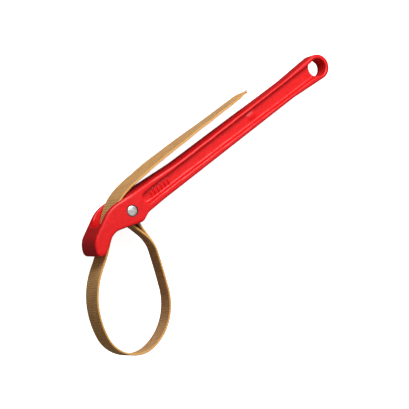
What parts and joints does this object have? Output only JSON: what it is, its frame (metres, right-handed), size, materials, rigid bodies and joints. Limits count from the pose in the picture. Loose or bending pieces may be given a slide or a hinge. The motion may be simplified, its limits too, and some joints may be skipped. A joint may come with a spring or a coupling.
{
  "type": "oil filter strap wrench",
  "caption": "Strap wrench: cast handle with a hooked two-cheek head, pinned woven strap that loops round a filter and returns through the head to a free tail.",
  "frame": {"origin": "middle of the hanging eye, halfway through its thickness", "axes": "+X along the handle from the head to the eye, +Y to the tail's side of the handle, +Z across the strap, up when the tool lies on its side"},
  "size_m": [0.5009, 0.2007, 0.057],
  "materials": {
    "red_enamel": "glossy red enamel over a sand-cast surface",
    "pin_steel": "bright turned steel, riveted ends",
    "woven_strap": "tan woven nylon webbing with a cross rib",
    "seam_thread": "bonded sewing thread"
  },
  "bodies": {
    "handle": {"handle_casting": "red_enamel", "anchor_pin": "pin_steel"},
    "eye": {"strap_eye": "woven_strap", "seam_stitching": "seam_thread"},
    "right_side": {"strap_right_side": "woven_strap"},
    "lower_right": {"strap_lower_right": "woven_strap"},
    "lower_left": {"strap_lower_left": "woven_strap"},
    "left_side": {"strap_left_side": "woven_strap"},
    "through_head": {"strap_through_head": "woven_strap"},
    "tail_bend": {"strap_tail_bend": "woven_strap"},
    "tail_end": {"strap_tail_end": "woven_strap"}
  },
  "joints": [
    {"name": "strap_eye_turn", "type": "hinge", "parent": "handle", "child": "eye", "pos_m": [-0.358, 0.002, 0], "axis": [0, 0, 1], "range_deg": [0, 14]},
    {"name": "right_side_bend", "type": "hinge", "parent": "eye", "child": "right_side", "pos_m": [-0.35439, -0.05233, 0], "axis": [0, 0, 1], "range_deg": [-2.86, 0]},
    {"name": "lower_right_bend", "type": "hinge", "parent": "right_side", "child": "lower_right", "pos_m": [-0.37253, -0.11309, 0], "axis": [0, 0, 1], "range_deg": [-20.15, 0]},
    {"name": "lower_left_bend", "type": "hinge", "parent": "lower_right", "child": "lower_left", "pos_m": [-0.43538, -0.1633, 0], "axis": [0, 0, 1], "range_deg": [-3.38, 0]},
    {"name": "left_side_bend", "type": "hinge", "parent": "lower_left", "child": "left_side", "pos_m": [-0.48009, -0.11438, 0], "axis": [0, 0, 1], "range_deg": [0, 15.95]},
    {"name": "slot_bend", "type": "hinge", "parent": "left_side", "child": "through_head", "pos_m": [-0.43244, -0.03543, 0], "axis": [0, 0, 1], "range_deg": [-3.57, 0]},
    {"name": "tail_lift", "type": "hinge", "parent": "through_head", "child": "tail_bend", "pos_m": [-0.39065, 0.00154, 0], "axis": [0, 0, 1], "range_deg": [0, 30]},
    {"name": "tail_curl", "type": "hinge", "parent": "tail_bend", "child": "tail_end", "pos_m": [-0.3313, 0.03048, 0], "axis": [0, 0, 1], "range_deg": [0, 30]}
  ],
  "couplings": [
    {"joint": "right_side_bend", "follows": "strap_eye_turn", "ratio": -0.204},
    {"joint": "lower_right_bend", "follows": "strap_eye_turn", "ratio": -1.439},
    {"joint": "lower_left_bend", "follows": "strap_eye_turn", "ratio": -0.241},
    {"joint": "left_side_bend", "follows": "strap_eye_turn", "ratio": 1.139},
    {"joint": "slot_bend", "follows": "strap_eye_turn", "ratio": -0.255},
    {"joint": "tail_curl", "follows": "tail_lift", "ratio": 1}
  ]
}
